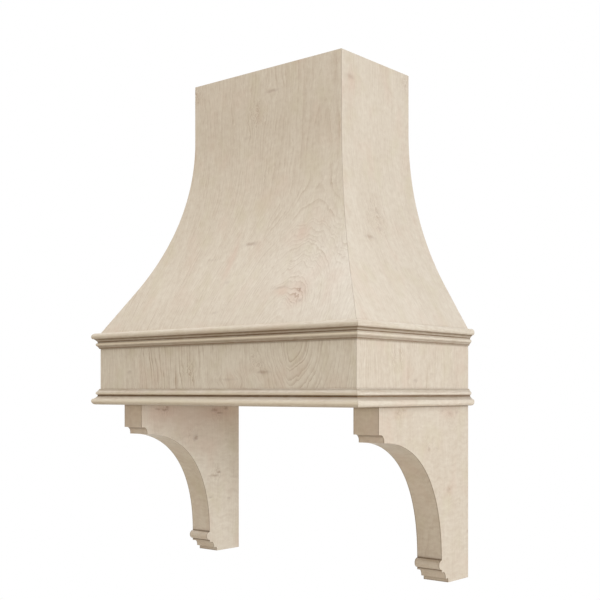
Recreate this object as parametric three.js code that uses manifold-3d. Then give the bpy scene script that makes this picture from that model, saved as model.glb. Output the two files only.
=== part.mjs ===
// Wooden range hood cover: a flared bell on a moulded band, carried low by two arched corbels.
//
// Millimetres, +Z up. The wall is the plane y = 0 and the hood stands out from it towards -Y,
// centred on x = 0. Pieces are drawn with z = 0 at the underside of the band. At the end the
// hood is lowered so that the origin is the middle of the wall cleat's back, where it hangs.

import * as THREE from "three";
import { mergeVertices } from "three/addons/utils/BufferGeometryUtils.js";
import Module from "manifold-3d";

const wasm = await Module();
wasm.setup();

// ---- Overall form ----------------------------------------------------------------------

const hoodWidth = 914.4; // over the band's bare side faces
const hoodDepth = 495.3; // wall to the band's bare front face
const hoodHeight = 914.4; // underside of the band to the top of the bell
const bandHeight = 203.2;

// The bell drops straight, bends outwards and runs straight again to the band.
const flareReach = 190.5; // spread from its top to its foot, alike on all three sides
const bendRadius = 842;
const footSlope = THREE.MathUtils.degToRad(31); // from vertical, below the bend

// ---- Stock -----------------------------------------------------------------------------

const boardThickness = 19.05;
const skinThickness = 9.5;
const glueLine = 0.3; // clearance between faces that touch or are glued

// ---- Band moulding: a quirk and a hollow by the bare apron, then a bead, a fillet, a cove
// and a round nose. Heights are up the moulding from the bare apron, depths out from its face.

const mouldingHeight = 44.45;
const mouldingDepth = 19.05;
const quirkDepth = 2.5; // square step where the moulding leaves the apron
const hollowSag = 0.6; // depth of the hollow's curve off a straight line
const beadMiddle = 12;
const beadHalfHeight = 4.4;
const beadLip = 3.9; // how far the bead stands proud of the fillet
const beadStart = THREE.MathUtils.degToRad(-50);
const filletDepth = 6;
const filletTop = 20;
const coveDepth = 14.3;
const coveTop = 28;
const coveSag = 0.5;
const noseRadius = 10;

// ---- Corbels ---------------------------------------------------------------------------

const corbelWidth = 76.2;
const corbelDepth = 406.4;
const corbelHeight = 457.2;
const headHeight = 66.5; // upright front face at the top
const headFillet = 6.4;
const headCove = 15;
const headLip = 5;
const legDepth = 130; // wall to the front of the slim leg
const archTopTension = 0.575; // 0.55 and 0.55 would make a plain quarter ellipse
const archLegTension = 0.655;
const footNoseRadius = 12.5;
const footFillet = 6.5;
const footFilletStep = 8;
const footCoveRun = 11.3;
const footCoveRise = 18.5;
const footPlinthStep = 11.2;
const footPlinthHeight = 11.2;

// ---- Inner frame -----------------------------------------------------------------------

const ledgeWidth = 57.15; // flat rails round the band, which carry the blower's liner
const topRailWidth = 38.1; // flat rails round the duct opening
const ribWidth = 38.1;
const ribThickness = 19.05;
const stileWidth = 57.15;
const frontRibSpacing = 304.8;
const sideRibFromWall = 152.4;
const cornerBlockSize = 38.1;

// ---- Wall fixing -----------------------------------------------------------------------

const cleatHeight = 88.9;
const cleatSideClearance = 6; // lets the hood slide sideways on the wall
const fixingHoleRadius = 2.6;
const fixingHoleCount = 4;
const cleatHoleInset = 38; // from the rail's ends
const fixingRailHoleInset = 101.6;

// ---- Screws that hold the corbels up to the ledge ---------------------------------------

const screwLength = 63.5;
const screwShankRadius = 2.2;
const screwHeadRadius = 4.8;
const screwHeadHeight = 3;
const screwPointLength = 7;
const screwFromCorbelEnd = 90;
const pilotRunOut = 2; // depth of the pilot hole past the point

// ---- Fineness of curves ----------------------------------------------------------------

const bendRows = 40;
const arcSteps = 6;
const archSteps = 30;
const roundSides = 20;

// ---- Sizes that follow -----------------------------------------------------------------

const topWidth = hoodWidth - 2 * flareReach;
const topDepth = hoodDepth - flareReach;
const mitreClearance = glueLine / Math.SQRT2; // each side of a mitre, measured along the run
const bandInside = flareReach - boardThickness - glueLine; // reach of what fits in the band
const ledgeTop = boardThickness;
const bellBase = bandHeight + glueLine;
const topFrameUnderside = hoodHeight - boardThickness;
const lipReach = headFillet + headCove;
const archTop = headHeight + headCove + headLip;
const footHeight = 2 * footNoseRadius + footFillet + footCoveRise + footPlinthHeight;
const cleatBevelDrop = boardThickness; // 45 degree hook
const hangingRailTop = topFrameUnderside - glueLine;
const hangingRailPoint = hangingRailTop - cleatHeight; // lowest edge, at the wall
const cleatBackTop = hangingRailPoint - glueLine * Math.SQRT2;
const cleatBottom = cleatBackTop + cleatBevelDrop - cleatHeight;
const cleatMiddle = (cleatBackTop + cleatBottom) / 2;

// ---- The bell's curve ------------------------------------------------------------------

// The bend stops early if it makes the whole reach before it has turned to the foot's slope.
const bendAngle = Math.min(footSlope, Math.acos(1 - flareReach / bendRadius));
const bendDrop = bendRadius * Math.sin(bendAngle);
const bendReach = bendRadius * (1 - Math.cos(bendAngle));
const footDrop = (flareReach - bendReach) / Math.tan(bendAngle);
const bendTop = bandHeight + footDrop + bendDrop;

// How far the bell's outer face stands out past its top, and its lean, at height z.
function reachAt(z) {
  const drop = Math.max(0, bendTop - z);
  if (drop > bendDrop) {
    return bendReach + (drop - bendDrop) * Math.tan(bendAngle);
  }
  return bendRadius - Math.sqrt(bendRadius ** 2 - drop ** 2);
}

function leanAt(z) {
  const drop = Math.min(Math.max(0, bendTop - z), bendDrop);
  return Math.asin(drop / bendRadius);
}

// The same at a given depth under the outer face, measured square to it.
function reachInside(z, depth) {
  return reachAt(z) - depth / Math.cos(leanAt(z));
}

// Heights that the curve is drawn at, close enough together in the bend to look smooth.
function curveHeights(from, to) {
  return Array.from({ length: bendRows + 1 }, (_, row) => from + ((to - from) * row) / bendRows);
}

// ---- Building helpers ------------------------------------------------------------------

// Wood and metal finishes, as they look on the hood.
const whitewashedMaple = { color: 0xcdbda6, roughness: 0.62, metalness: 0 };
const birchPlywood = { color: 0xd8c39c, roughness: 0.75, metalness: 0 };
const poplar = { color: 0xcfc39a, roughness: 0.78, metalness: 0 };
const zincSteel = { color: 0xb9bcc0, roughness: 0.35, metalness: 1 };

const hood = new THREE.Group();

function addPiece(name, geometry, finish) {
  const piece = new THREE.Mesh(geometry, new THREE.MeshStandardMaterial(finish));
  piece.name = name;
  hood.add(piece);
  return piece;
}

// Six times the enclosed volume, negative if the faces point inwards.
function signedVolume(position) {
  let total = 0;
  const a = new THREE.Vector3();
  const b = new THREE.Vector3();
  const c = new THREE.Vector3();
  for (let i = 0; i < position.count; i += 3) {
    a.fromBufferAttribute(position, i);
    b.fromBufferAttribute(position, i + 1);
    c.fromBufferAttribute(position, i + 2);
    total += a.dot(b.cross(c));
  }
  return total;
}

// Moves every point of a geometry to its place, and turns the faces out again if that
// mirrored them.
function reshape(geometry, place) {
  const loose = geometry.index ? geometry.toNonIndexed() : geometry;
  const position = loose.attributes.position;
  for (let i = 0; i < position.count; i += 1) {
    const point = place(position.getX(i), position.getY(i), position.getZ(i));
    position.setXYZ(i, point.x, point.y, point.z);
  }
  if (signedVolume(position) < 0) {
    for (let i = 0; i < position.count; i += 3) {
      const second = new THREE.Vector3().fromBufferAttribute(position, i + 1);
      const third = new THREE.Vector3().fromBufferAttribute(position, i + 2);
      position.setXYZ(i + 1, third.x, third.y, third.z);
      position.setXYZ(i + 2, second.x, second.y, second.z);
    }
  }
  loose.computeVertexNormals();
  return loose;
}

// A straight board between two opposite corners.
function board(low, high) {
  const geometry = new THREE.BoxGeometry(high[0] - low[0], high[1] - low[1], high[2] - low[2]);
  return geometry.translate((low[0] + high[0]) / 2, (low[1] + high[1]) / 2, (low[2] + high[2]) / 2);
}

function toSolid(geometry) {
  const bare = geometry.clone();
  bare.deleteAttribute("normal");
  bare.deleteAttribute("uv");
  const merged = mergeVertices(bare, 1e-4);
  return new wasm.Manifold(
    new wasm.Mesh({
      numProp: 3,
      vertProperties: new Float32Array(merged.attributes.position.array),
      triVerts: new Uint32Array(merged.index.array),
    }),
  );
}

function fromSolid(solid) {
  const mesh = solid.getMesh();
  const geometry = new THREE.BufferGeometry();
  geometry.setAttribute("position", new THREE.BufferAttribute(mesh.vertProperties, 3));
  geometry.setIndex(new THREE.BufferAttribute(mesh.triVerts, 1));
  const loose = geometry.toNonIndexed();
  loose.computeVertexNormals();
  return loose;
}

function cutAway(geometry, cutters) {
  let solid = toSolid(geometry);
  for (const cutter of cutters) {
    solid = solid.subtract(toSolid(cutter));
  }
  return fromSolid(solid);
}

// The hood's three sides are drawn alike: `along` runs from 0 to 1 over the side's length,
// `out` is the distance beyond the bell's top face, and mitred ends follow from `out`.
const sides = {
  front: (along, out, z) => {
    const half = topWidth / 2 + out - mitreClearance;
    return new THREE.Vector3((2 * along - 1) * half, -(topDepth + out), z);
  },
  left: (along, out, z) => {
    return new THREE.Vector3(-(topWidth / 2 + out), -along * (topDepth + out - mitreClearance), z);
  },
  right: (along, out, z) => {
    return new THREE.Vector3(topWidth / 2 + out, -along * (topDepth + out - mitreClearance), z);
  },
};

// Runs a section, drawn with x outwards and y up, along one side of the hood.
function runAlongSide(section, side) {
  const run = new THREE.ExtrudeGeometry(section, {
    depth: 1,
    bevelEnabled: false,
    curveSegments: arcSteps,
  });
  return reshape(run, (out, z, along) => sides[side](along, out, z));
}

// ---- Bell skins ------------------------------------------------------------------------

function bellSkinSection() {
  const heights = curveHeights(bellBase, hoodHeight);
  const outer = heights.map((z) => new THREE.Vector2(reachAt(z), z));
  const inner = heights.map((z) => new THREE.Vector2(reachInside(z, skinThickness), z));
  return new THREE.Shape([...outer, ...inner.reverse()]);
}

// ---- Band: aprons and mouldings ---------------------------------------------------------

function apronSection() {
  const shape = new THREE.Shape();
  shape.moveTo(flareReach - boardThickness, 0);
  shape.lineTo(flareReach, 0);
  shape.lineTo(flareReach, bandHeight);
  shape.lineTo(flareReach - boardThickness, bandHeight);
  shape.closePath();
  return shape;
}

// Draws a shallow hollow to a point. `sag` is its depth off the straight line.
function hollowTo(shape, sag, x, y) {
  const start = shape.currentPoint;
  const chord = new THREE.Vector2(x - start.x, y - start.y);
  const length = chord.length();
  const pull = (2 * sag) / length;
  const controlX = (start.x + x) / 2 - chord.y * pull;
  const controlY = (start.y + y) / 2 + chord.x * pull;
  shape.quadraticCurveTo(controlX, controlY, x, y);
}

// Drawn with x out from the apron's face and y away from the bare part of the apron.
function mouldingSection() {
  const beadFootDepth = filletDepth + beadLip * Math.cos(beadStart);
  const beadFoot = beadMiddle + beadHalfHeight * Math.sin(beadStart);
  const noseDepth = mouldingDepth - noseRadius;
  const noseMiddle = mouldingHeight - noseRadius;
  const noseStart = Math.asin((coveTop - noseMiddle) / noseRadius);

  const shape = new THREE.Shape();
  shape.moveTo(glueLine, 0);
  shape.lineTo(quirkDepth, 0);
  hollowTo(shape, hollowSag, beadFootDepth, beadFoot);
  shape.absellipse(filletDepth, beadMiddle, beadLip, beadHalfHeight, beadStart, Math.PI / 2, false);
  shape.lineTo(filletDepth, filletTop);
  hollowTo(shape, coveSag, coveDepth, coveTop);
  shape.absarc(noseDepth, noseMiddle, noseRadius, noseStart, 0, false);
  shape.absarc(noseDepth, noseMiddle, noseRadius, 0, Math.PI / 2, false);
  shape.lineTo(glueLine, mouldingHeight);
  shape.closePath();
  return shape;
}

// The same stock runs upwards from the apron's bare face at the top, and downwards below.
function mouldingRun(side, bareEdge, direction) {
  const run = new THREE.ExtrudeGeometry(mouldingSection(), {
    depth: 1,
    bevelEnabled: false,
    curveSegments: arcSteps,
  });
  return reshape(run, (out, rise, along) => {
    return sides[side](along, flareReach + out, bareEdge + direction * rise);
  });
}

for (const side of Object.keys(sides)) {
  addPiece(`${side}_skin`, runAlongSide(bellSkinSection(), side), whitewashedMaple);
  addPiece(`${side}_apron`, runAlongSide(apronSection(), side), whitewashedMaple);
  addPiece(`${side}_upper_moulding`, mouldingRun(side, bandHeight - mouldingHeight, 1), whitewashedMaple);
  addPiece(`${side}_lower_moulding`, mouldingRun(side, mouldingHeight, -1), whitewashedMaple);
}

// ---- Flat frames: four rails each, the long ones across the front and the wall ----------

// `reach` is how far the frame's outer edge stands past the bell's top, and `railWidth` the
// width of its rails seen from above.
function flatFrame(name, reach, railWidth, low, sideRailCutters = {}) {
  const halfWidth = topWidth / 2 + reach;
  const front = -(topDepth + reach);
  const high = low + boardThickness;
  const endGap = railWidth + glueLine;
  const frontRail = board([-halfWidth, front, low], [halfWidth, front + railWidth, high]);
  const backRail = board([-halfWidth, -railWidth, low], [halfWidth, 0, high]);
  addPiece(`${name}_front_rail`, frontRail, poplar);
  addPiece(`${name}_back_rail`, backRail, poplar);
  for (const [side, sign] of [["left", -1], ["right", 1]]) {
    const edges = [sign * halfWidth, sign * (halfWidth - railWidth)].sort((a, b) => a - b);
    const rail = board([edges[0], front + endGap, low], [edges[1], -endGap, high]);
    const cutters = sideRailCutters[side] ?? [];
    addPiece(`${name}_${side}_rail`, cutAway(rail, cutters), poplar);
  }
}

// ---- Corbels and their screws ------------------------------------------------------------

const ledgeRailMiddle = topWidth / 2 + bandInside - ledgeWidth / 2;
const screwPlaces = [
  ["rear", -screwFromCorbelEnd],
  ["front", -(corbelDepth - screwFromCorbelEnd)],
];
const screwHeadUnderside = ledgeTop + glueLine;

// Drawn with x out from the wall and y up.
function corbelSection() {
  const archStart = new THREE.Vector2(corbelDepth - lipReach, -archTop);
  const archEnd = new THREE.Vector2(legDepth, footHeight - corbelHeight);
  const topPull = (archStart.x - archEnd.x) * archTopTension;
  const legPull = (archStart.y - archEnd.y) * archLegTension;
  const filletBottom = archEnd.y - 2 * footNoseRadius - footFillet;
  const coveFront = legDepth - footFilletStep;
  const plinthTop = filletBottom - footCoveRise;
  const plinthDepth = coveFront - footCoveRun - footPlinthStep;

  // The arch is divided by itself, finer than the small mouldings.
  const arch = new THREE.CubicBezierCurve(
    archStart,
    new THREE.Vector2(archStart.x - topPull, archStart.y),
    new THREE.Vector2(archEnd.x, archEnd.y + legPull),
    archEnd,
  );

  const shape = new THREE.Shape();
  shape.moveTo(0, -glueLine);
  shape.lineTo(0, -corbelHeight);
  shape.lineTo(plinthDepth, -corbelHeight);
  shape.lineTo(plinthDepth, plinthTop);
  shape.lineTo(coveFront - footCoveRun, plinthTop);
  shape.absellipse(coveFront, plinthTop, footCoveRun, footCoveRise, Math.PI, Math.PI / 2, true);
  shape.lineTo(legDepth, filletBottom);
  shape.lineTo(legDepth, archEnd.y - 2 * footNoseRadius);
  shape.absarc(legDepth, archEnd.y - footNoseRadius, footNoseRadius, -Math.PI / 2, Math.PI / 2, false);
  for (const point of arch.getPoints(archSteps).reverse()) {
    shape.lineTo(point.x, point.y);
  }
  shape.lineTo(archStart.x, -headHeight - headCove);
  shape.absarc(corbelDepth - headFillet, -headHeight - headCove, headCove, Math.PI, Math.PI / 2, true);
  shape.lineTo(corbelDepth, -headHeight);
  shape.lineTo(corbelDepth, -glueLine);
  shape.closePath();
  return shape;
}

function uprightRod(radius, low, high, x, y) {
  const rod = new THREE.CylinderGeometry(radius, radius, high - low, roundSides);
  return rod.rotateX(Math.PI / 2).translate(x, y, (low + high) / 2);
}

function corbel(sign) {
  const block = new THREE.ExtrudeGeometry(corbelSection(), {
    depth: corbelWidth,
    bevelEnabled: false,
    curveSegments: arcSteps,
  });
  const blank = reshape(block, (depth, z, across) => {
    return new THREE.Vector3(sign * (hoodWidth / 2 - across), -depth, z);
  });
  const pilotBottom = screwHeadUnderside - screwLength - pilotRunOut;
  const pilots = screwPlaces.map(([, y]) => {
    return uprightRod(screwShankRadius + glueLine, pilotBottom, ledgeTop, sign * ledgeRailMiddle, y);
  });
  return cutAway(blank, pilots);
}

function screw() {
  const profile = [
    new THREE.Vector2(0, -screwLength),
    new THREE.Vector2(screwShankRadius, screwPointLength - screwLength),
    new THREE.Vector2(screwShankRadius, 0),
    new THREE.Vector2(screwHeadRadius, 0),
    new THREE.Vector2(screwHeadRadius, screwHeadHeight / 2),
    new THREE.Vector2(screwHeadRadius * 0.7, screwHeadHeight),
    new THREE.Vector2(0, screwHeadHeight),
  ];
  return new THREE.LatheGeometry(profile, roundSides).rotateX(Math.PI / 2);
}

const ledgeHoles = {};
for (const [side, sign] of [["left", -1], ["right", 1]]) {
  addPiece(`${side}_corbel`, corbel(sign), whitewashedMaple);
  ledgeHoles[side] = [];
  for (const [end, y] of screwPlaces) {
    const x = sign * ledgeRailMiddle;
    addPiece(`${side}_corbel_${end}_screw`, screw(), zincSteel).position.set(x, y, screwHeadUnderside);
    ledgeHoles[side].push(uprightRod(screwShankRadius + glueLine, -glueLine, screwHeadUnderside, x, y));
  }
}

// ---- Frames in the band and at the top of the bell ---------------------------------------

const topFrameReach = reachInside(hoodHeight, skinThickness + glueLine);
flatFrame("liner_ledge", bandInside, ledgeWidth, 0, ledgeHoles);
flatFrame("bell_base", bandInside, ledgeWidth, bandHeight - boardThickness);
flatFrame("top_frame", topFrameReach, topRailWidth, topFrameUnderside);

// Blocks that stiffen the band's four corners, from the ledge to the bell's base.
const bandSideInside = topWidth / 2 + bandInside;
const bandFrontInside = -(topDepth + bandInside);
const blockLow = ledgeTop + glueLine;
const blockHigh = bandHeight - boardThickness - glueLine;
for (const [side, sign] of [["left", -1], ["right", 1]]) {
  const x = [sign * bandSideInside, sign * (bandSideInside - cornerBlockSize)].sort((a, b) => a - b);
  const rearFace = -(boardThickness + glueLine);
  const front = board(
    [x[0], bandFrontInside, blockLow],
    [x[1], bandFrontInside + cornerBlockSize, blockHigh],
  );
  const rear = board([x[0], rearFace - cornerBlockSize, blockLow], [x[1], rearFace, blockHigh]);
  addPiece(`${side}_front_corner_block`, front, poplar);
  addPiece(`${side}_rear_corner_block`, rear, poplar);
}

// ---- Ribs and stiles that the skins are bent over -----------------------------------------

const ribLow = bellBase;
const ribHigh = topFrameUnderside - glueLine;

// The room inside the bell, shrunk by `inset` square to the skins, as a solid that runs on
// behind the wall.
function bellRoom(inset, behindWall) {
  const room = new THREE.BoxGeometry(2, 1, 1, 1, 1, bendRows);
  return reshape(room, (across, back, up) => {
    const z = bellBase + (hoodHeight - bellBase) * (up + 0.5);
    const reach = reachInside(z, skinThickness + glueLine + inset);
    const y = back > 0 ? behindWall : -(topDepth + reach);
    return new THREE.Vector3(across * (topWidth / 2 + reach), y, z);
  });
}

// Trims a plate to a strip that follows the skins.
function trimToSkins(plate, width) {
  const strip = toSolid(plate).intersect(toSolid(bellRoom(0, 0)));
  return fromSolid(strip.subtract(toSolid(bellRoom(width, boardThickness))));
}

const farOut = Math.max(hoodWidth, hoodDepth);
for (const [side, sign] of [["left", -1], ["right", 1]]) {
  const ribMiddle = (sign * frontRibSpacing) / 2;
  const frontRib = board(
    [ribMiddle - ribThickness / 2, -farOut, ribLow],
    [ribMiddle + ribThickness / 2, 0, ribHigh],
  );
  addPiece(`${side}_front_rib`, trimToSkins(frontRib, ribWidth), birchPlywood);

  const sideRib = board(
    [Math.min(0, sign * farOut), -sideRibFromWall - ribThickness / 2, ribLow],
    [Math.max(0, sign * farOut), -sideRibFromWall + ribThickness / 2, ribHigh],
  );
  addPiece(`${side}_side_rib`, trimToSkins(sideRib, ribWidth), birchPlywood);

  // The hip rib stands in the mitre, so both skins land on its bevelled outer edge.
  const hipRib = board([-ribThickness / 2, -farOut, ribLow], [ribThickness / 2, ribWidth, ribHigh]);
  hipRib.rotateZ((sign * Math.PI) / 4);
  hipRib.translate((sign * topWidth) / 2, -topDepth, 0);
  addPiece(`${side}_hip_rib`, trimToSkins(hipRib, ribWidth), birchPlywood);

  const stile = board(
    [Math.min(0, sign * farOut), -boardThickness, ribLow],
    [Math.max(0, sign * farOut), 0, ribHigh],
  );
  addPiece(`${side}_back_stile`, trimToSkins(stile, stileWidth), birchPlywood);
}

// ---- Wall fixing: hooked rails at the top and a screwed rail in the band ------------------

// Holes through an upright rail, evenly spaced and clear of its ends.
function wallScrewHoles(halfLength, inset, z) {
  const span = 2 * (halfLength - inset);
  return Array.from({ length: fixingHoleCount }, (_, i) => {
    const x = inset - halfLength + (span * i) / (fixingHoleCount - 1);
    const hole = new THREE.CylinderGeometry(
      fixingHoleRadius,
      fixingHoleRadius,
      3 * boardThickness,
      roundSides,
    );
    return hole.translate(x, -boardThickness / 2, z);
  });
}

// An upright rail with a bevelled edge: the section has x out from the wall and y up.
function hookedRail(halfLength, section) {
  const shape = new THREE.Shape(section.map(([out, z]) => new THREE.Vector2(out, z)));
  const rail = new THREE.ExtrudeGeometry(shape, { depth: 2 * halfLength, bevelEnabled: false });
  return reshape(rail, (out, z, along) => new THREE.Vector3(along - halfLength, -out, z));
}

const betweenStiles = topWidth / 2 + reachInside(hoodHeight, skinThickness + 2 * glueLine + stileWidth);
addPiece(
  "hanging_rail",
  hookedRail(betweenStiles, [
    [0, hangingRailPoint],
    [boardThickness, hangingRailPoint + cleatBevelDrop],
    [boardThickness, hangingRailTop],
    [0, hangingRailTop],
  ]),
  poplar,
);

const cleatHalfLength = betweenStiles - cleatSideClearance;
const cleatBlank = hookedRail(cleatHalfLength, [
  [0, cleatBottom],
  [boardThickness, cleatBottom],
  [boardThickness, cleatBackTop + cleatBevelDrop],
  [0, cleatBackTop],
]);
addPiece(
  "wall_cleat",
  cutAway(cleatBlank, wallScrewHoles(cleatHalfLength, cleatHoleInset, cleatMiddle)),
  poplar,
);

const fixingRail = board(
  [-bandSideInside, -boardThickness, blockLow],
  [bandSideInside, 0, blockHigh],
);
const fixingRailMiddle = (blockLow + blockHigh) / 2;
addPiece(
  "lower_fixing_rail",
  cutAway(fixingRail, wallScrewHoles(bandSideInside, fixingRailHoleInset, fixingRailMiddle)),
  poplar,
);

// ---- The origin moves to the middle of the wall cleat's back ------------------------------

hood.position.z = -cleatMiddle;
const rangeHoodCover = new THREE.Group();
rangeHoodCover.add(hood);

export default rangeHoodCover;
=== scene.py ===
# %% [markdown]
# # A wooden range hood cover
# The hood hangs on a kitchen wall. From the top down it is a flared bell, a moulded band and two
# arched corbels, all in pale whitewashed maple. The construction comes ready made, as solids in
# their real places. This lesson loads them, gives every one its finish, and makes the pieces that
# show again, with finer curves and eased edges.

import math

import bmesh
import bpy
from mathutils import Matrix, Vector
from mathutils.geometry import interpolate_bezier


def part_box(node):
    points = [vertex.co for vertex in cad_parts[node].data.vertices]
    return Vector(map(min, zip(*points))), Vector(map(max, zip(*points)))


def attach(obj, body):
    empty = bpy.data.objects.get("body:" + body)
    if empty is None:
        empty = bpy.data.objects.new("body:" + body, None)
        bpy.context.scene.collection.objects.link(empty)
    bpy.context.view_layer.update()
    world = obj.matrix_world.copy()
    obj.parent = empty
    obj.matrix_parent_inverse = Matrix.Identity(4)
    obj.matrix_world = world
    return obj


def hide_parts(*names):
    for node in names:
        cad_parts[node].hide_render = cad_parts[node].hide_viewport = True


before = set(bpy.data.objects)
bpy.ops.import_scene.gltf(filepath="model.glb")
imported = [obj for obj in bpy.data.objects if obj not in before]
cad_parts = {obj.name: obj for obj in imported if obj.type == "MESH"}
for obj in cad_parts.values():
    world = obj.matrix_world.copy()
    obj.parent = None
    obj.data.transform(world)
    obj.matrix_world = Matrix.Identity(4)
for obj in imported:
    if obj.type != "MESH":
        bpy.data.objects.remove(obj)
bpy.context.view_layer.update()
print("nodes in the construction:", len(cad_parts))

# %% [markdown]
# ## Sizes
# Blender works in metres and a joiner in millimetres, so sizes are written as `842 * MM`. A size is
# read from a solid where one has it, so that a new piece goes exactly where the construction says.
# The bend of the bell can't be read off a box: it is a straight drop, a bend of large radius, and a
# straight foot.

# %% Main sizes
MM = 0.001
apron_low, apron_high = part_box("front_apron")
skin_low, skin_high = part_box("front_skin")
half_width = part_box("right_apron")[1].x
band_front = -apron_low.y
band_underside = apron_low.z
band_top = apron_high.z
bell_base = skin_low.z
bell_top = skin_high.z

GLUE_LINE = 0.3 * MM
FLARE_REACH = 190.5 * MM
BEND_RADIUS = 842 * MM
FOOT_SLOPE = math.radians(31)
top_half_width = half_width - FLARE_REACH
top_depth = band_front - FLARE_REACH
bend_drop = BEND_RADIUS * math.sin(FOOT_SLOPE)
bend_reach = BEND_RADIUS * (1 - math.cos(FOOT_SLOPE))
bend_top = band_top + (FLARE_REACH - bend_reach) / math.tan(FOOT_SLOPE) + bend_drop
print("bell top, mm:", round(2 * top_half_width / MM, 1), "by", round(top_depth / MM, 1))
print("the bend starts", round((bell_top - bend_top) / MM, 1), "mm below the top")

# %% [markdown]
# ## Camera
# The photograph was taken from low on the right, with the camera held level and its lens shifted
# up, which keeps the uprights parallel. A level camera with `shift_y` does the same. Its place and
# lens come from a perspective fit to the hood's straight edges.

# %% Place the camera
CAMERA_HEIGHT = 37.3 * MM
CAMERA_YAW = math.radians(39.987)
camera_data = bpy.data.cameras.new("camera")
camera_data.lens = 62.21
camera_data.sensor_width = 36
camera_data.shift_y = 0.15238
camera = bpy.data.objects.new("camera", camera_data)
camera.location = (1.8875, -2.4023, band_underside + CAMERA_HEIGHT)
camera.rotation_euler = (math.radians(90), 0, CAMERA_YAW)
bpy.context.scene.collection.objects.link(camera)
bpy.context.scene.camera = camera
bpy.context.scene.view_settings.view_transform = "Standard"
print("camera stands", round(camera.location.length, 3), "m from the middle of the wall cleat")

# %% [markdown]
# ## Shader maths
# A wood pattern is mostly arithmetic on the place of a point. One small class keeps it readable: a
# `Wire` is one socket, and `+ - * /` on wires add Math nodes. Any other node comes from
# `Recipe.node`, which takes the node's type, its settings and its inputs. Places are given in
# millimetres, because grain is easier to think of that way.


# %% Wires and recipes
class Wire:
    """One output socket, used in Python expressions like a number."""

    def __init__(self, recipe, socket):
        self.recipe = recipe
        self.socket = socket

    def maths(self, operation, first, second=0.0):
        return self.recipe.node("ShaderNodeMath", {"operation": operation}, {0: first, 1: second})

    def __add__(self, other):
        return self.maths("ADD", self, other)

    def __radd__(self, other):
        return self.maths("ADD", other, self)

    def __sub__(self, other):
        return self.maths("SUBTRACT", self, other)

    def __rsub__(self, other):
        return self.maths("SUBTRACT", other, self)

    def __mul__(self, other):
        return self.maths("MULTIPLY", self, other)

    def __rmul__(self, other):
        return self.maths("MULTIPLY", other, self)

    def __truediv__(self, other):
        return self.maths("DIVIDE", self, other)

    def __rtruediv__(self, other):
        return self.maths("DIVIDE", other, self)

    def __pow__(self, other):
        return self.maths("POWER", self, other)

    def at_least(self, other):
        return self.maths("MAXIMUM", self, other)

    def at_most(self, other):
        return self.maths("MINIMUM", self, other)

    def apply(self, operation):
        """A Math node with one input, such as SQRT, ABSOLUTE, FRACT, FLOOR or EXPONENT."""
        return self.maths(operation, self)

    def fade(self, low, high):
        """0 at or below `low`, 1 at or above `high`, with a soft change between them."""
        settings = {"interpolation_type": "SMOOTHSTEP"}
        return self.recipe.node("ShaderNodeMapRange", settings, {0: self, 1: low, 2: high, 3: 0.0, 4: 1.0})


LACQUER_ROUGHNESS = 0.32
PLACE_SCALE = 1000.0


class Recipe:
    """The node tree of a material or of the world, and the ways to add to it."""

    def __init__(self, owner):
        self.owner = owner
        owner.use_nodes = True
        self.tree = owner.node_tree
        self.tree.nodes.clear()

    def node(self, kind, settings, inputs, output=0):
        made = self.tree.nodes.new(kind)
        for setting, value in settings.items():
            setattr(made, setting, value)
        for key, value in inputs.items():
            if isinstance(value, Wire):
                self.tree.links.new(value.socket, made.inputs[key])
            else:
                made.inputs[key].default_value = value
        return Wire(self, made.outputs[output]) if made.outputs else None

    def place(self):
        """Where the point being shaded is, as three wires, in millimetres."""
        point = self.node("ShaderNodeTexCoord", {}, {}, "Object")
        return [self.node("ShaderNodeSeparateXYZ", {}, {0: point}, axis) * PLACE_SCALE for axis in "XYZ"]

    def noise(self, x, y, z, detail=2.0, roughness=0.5):
        """Smooth random values round zero, mostly between -0.25 and 0.25."""
        point = self.node("ShaderNodeCombineXYZ", {}, {0: x, 1: y, 2: z})
        inputs = {"Vector": point, "Scale": 1.0, "Detail": detail, "Roughness": roughness}
        return self.node("ShaderNodeTexNoise", {"noise_dimensions": "3D"}, inputs) - 0.5

    def mix(self, amount, first, second):
        """A blend of two colours."""
        return self.node("ShaderNodeMix", {"data_type": "RGBA"}, {0: amount, 6: first, 7: second}, 2)

    def surface(self, colour, roughness, height, metallic=0.0, lacquer=0.0, sheen=0.5):
        """Ends a material. `height` raises the surface, in millimetres. `sheen` is the bare surface's."""
        bump = self.node("ShaderNodeBump", {}, {"Height": height, "Distance": MM, "Strength": 1.0})
        inputs = {"Base Color": colour, "Roughness": roughness, "Normal": bump, "Metallic": metallic}
        inputs.update({"Coat Weight": lacquer, "Coat Roughness": LACQUER_ROUGHNESS})
        inputs["Specular IOR Level"] = sheen
        shader = self.node("ShaderNodeBsdfPrincipled", {}, inputs)
        self.node("ShaderNodeOutputMaterial", {}, {"Surface": shader})
        return self.owner


def tint(red, green, blue):
    """A colour written as it looks on a screen, 0 to 255, turned into Blender's linear values."""

    def linear(level):
        share = level / 255
        return share / 12.92 if share <= 0.04045 else ((share + 0.055) / 1.055) ** 2.4

    return (linear(red), linear(green), linear(blue), 1.0)


print("one wire class, one recipe class")

# %% [markdown]
# ## Light and floor
# Soft studio light: an even, warm surround and three cooler softboxes. One stands low on the right:
# it makes the right side the lighter one and reaches in under the band. One hangs high over the hood
# and brightens the foot of the bell where it leans back. A small one, high on the front left, lights
# the crests of the mouldings. The surround and the floor look white to the camera and to
# reflections, but send a plainer light on to the wood, so that shaded parts stay shaded.

# %% Surround, softboxes and floor
SURROUND_LIGHT = 0.447
SURROUND_COLOUR = tint(255, 242, 221)
HOOD_ABOVE_FLOOR = 1.68
FLOOR_RADIUS = 5.0


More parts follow.
